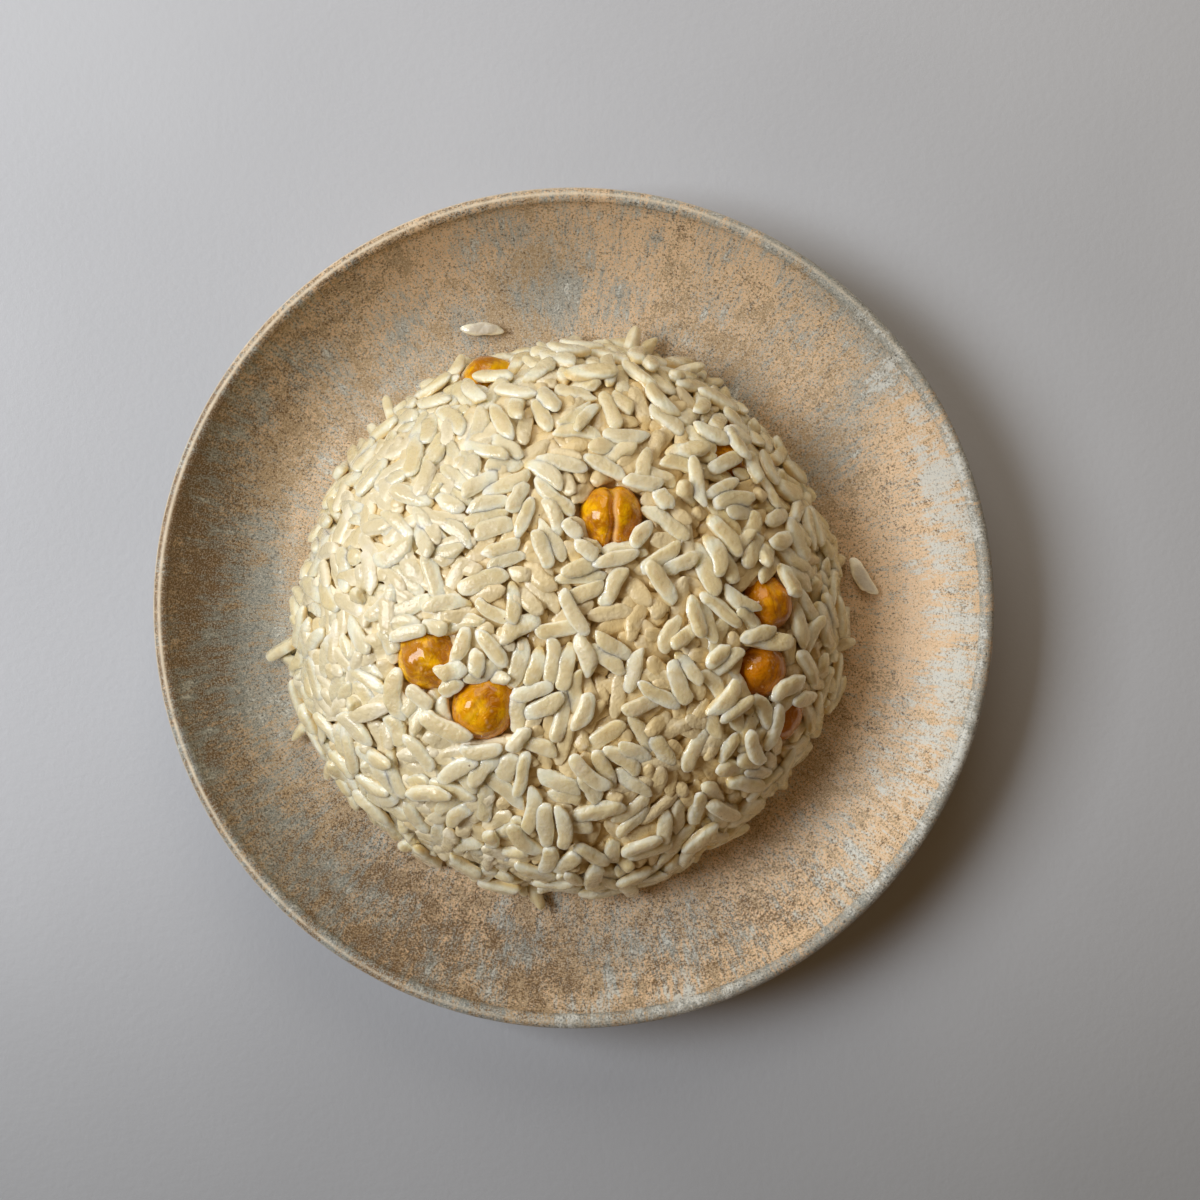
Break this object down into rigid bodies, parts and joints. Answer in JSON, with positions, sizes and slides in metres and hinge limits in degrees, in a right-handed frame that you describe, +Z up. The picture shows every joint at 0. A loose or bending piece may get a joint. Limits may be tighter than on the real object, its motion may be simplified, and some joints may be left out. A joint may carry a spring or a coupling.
{
  "type": "plate of rice pilaf",
  "caption": "Rice pilaf with chickpeas turned out of a bowl as a rounded heap, in the middle of a round coupe plate of speckled, mottled stoneware",
  "frame": {"origin": "centre of the plate's underside, on the surface that the plate stands on", "axes": "+Z up out of the plate; +Y is the picture's upward direction and +X its right"},
  "size_m": [0.19, 0.19, 0.0477],
  "materials": {
    "stoneware": "satin speckled glaze, tan and peach mottled with blue-grey",
    "cooked_rice": "moist, slightly translucent ivory",
    "cooked_chickpea": "moist, glossy amber"
  },
  "bodies": {
    "root": {"plate": "stoneware", "rice_heap": "cooked_rice", "chickpea_north_edge": "cooked_chickpea", "chickpea_split": "cooked_chickpea", "chickpea_east_upper": "cooked_chickpea", "chickpea_east_lower": "cooked_chickpea", "chickpea_east_edge": "cooked_chickpea", "chickpea_west_upper": "cooked_chickpea", "chickpea_west_lower": "cooked_chickpea", "chickpea_north_east": "cooked_chickpea", "loose_grain_north": "cooked_rice", "loose_grain_east": "cooked_rice"}
  },
  "joints": []
}
